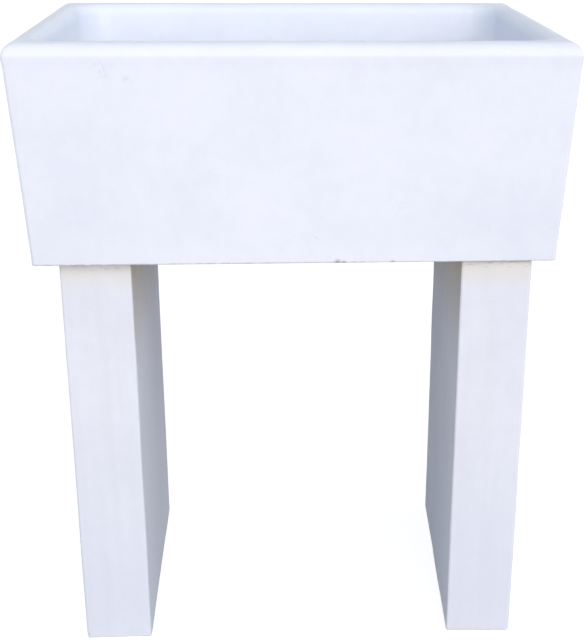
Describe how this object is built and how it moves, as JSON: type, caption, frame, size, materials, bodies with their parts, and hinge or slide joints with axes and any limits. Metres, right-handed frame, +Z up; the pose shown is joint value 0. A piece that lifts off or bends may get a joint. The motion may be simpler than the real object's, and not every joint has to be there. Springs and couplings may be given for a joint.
{
  "type": "utility laundry sink",
  "caption": "Deep cast laundry sink with leaning walls and a rounded rim, standing on slab legs, with a waste fitting and a lift-out rubber plug.",
  "frame": {"origin": "on the floor under the middle of the basin", "axes": "+Z up, the front of the sink faces -Y, +X to the right seen from the front"},
  "size_m": [0.7, 0.5, 0.845],
  "materials": {
    "cast_stone": "smooth white cast stone, satin",
    "leg_stone": "white cast stone, matt with faint streaks",
    "mortar": "pale mortar, rough",
    "bar_steel": "plain drawn bar",
    "dish_steel": "pressed and polished",
    "seal_rubber": "matt black",
    "plug_rubber": "matt black",
    "white_plastic": "moulded white",
    "bright_chrome": "polished",
    "brass": "turned"
  },
  "bodies": {
    "sink": {"tub": "cast_stone", "left_leg": "leg_stone", "right_leg": "leg_stone", "left_leg_bed": "mortar", "right_leg_bed": "mortar", "rim_hoop": "bar_steel", "wall_hoops": "bar_steel", "cross_wires": "bar_steel", "long_wires": "bar_steel", "left_leg_bars": "bar_steel", "left_leg_links": "bar_steel", "right_leg_bars": "bar_steel", "right_leg_links": "bar_steel", "waste_dish": "dish_steel", "dish_seal": "seal_rubber", "waste_body": "white_plastic", "body_seal": "seal_rubber", "waste_screw": "dish_steel", "screw_insert": "brass", "tail_nut": "white_plastic", "tail_washer": "seal_rubber", "tail_pipe": "white_plastic"},
    "plug": {"plug": "plug_rubber", "plug_stud": "bright_chrome", "plug_washer": "bright_chrome", "plug_nut": "bright_chrome"},
    "ring": {"plug_ring": "bright_chrome"}
  },
  "joints": [
    {"name": "plug_lift", "type": "slide", "parent": "sink", "child": "plug", "axis": [0, 0, 1], "range_m": [0, 0.28]},
    {"name": "ring_swing", "type": "hinge", "parent": "plug", "child": "ring", "pos_m": [0, 0, 0.607], "axis": [-1, 0, 0], "range_deg": [0, 206]}
  ]
}
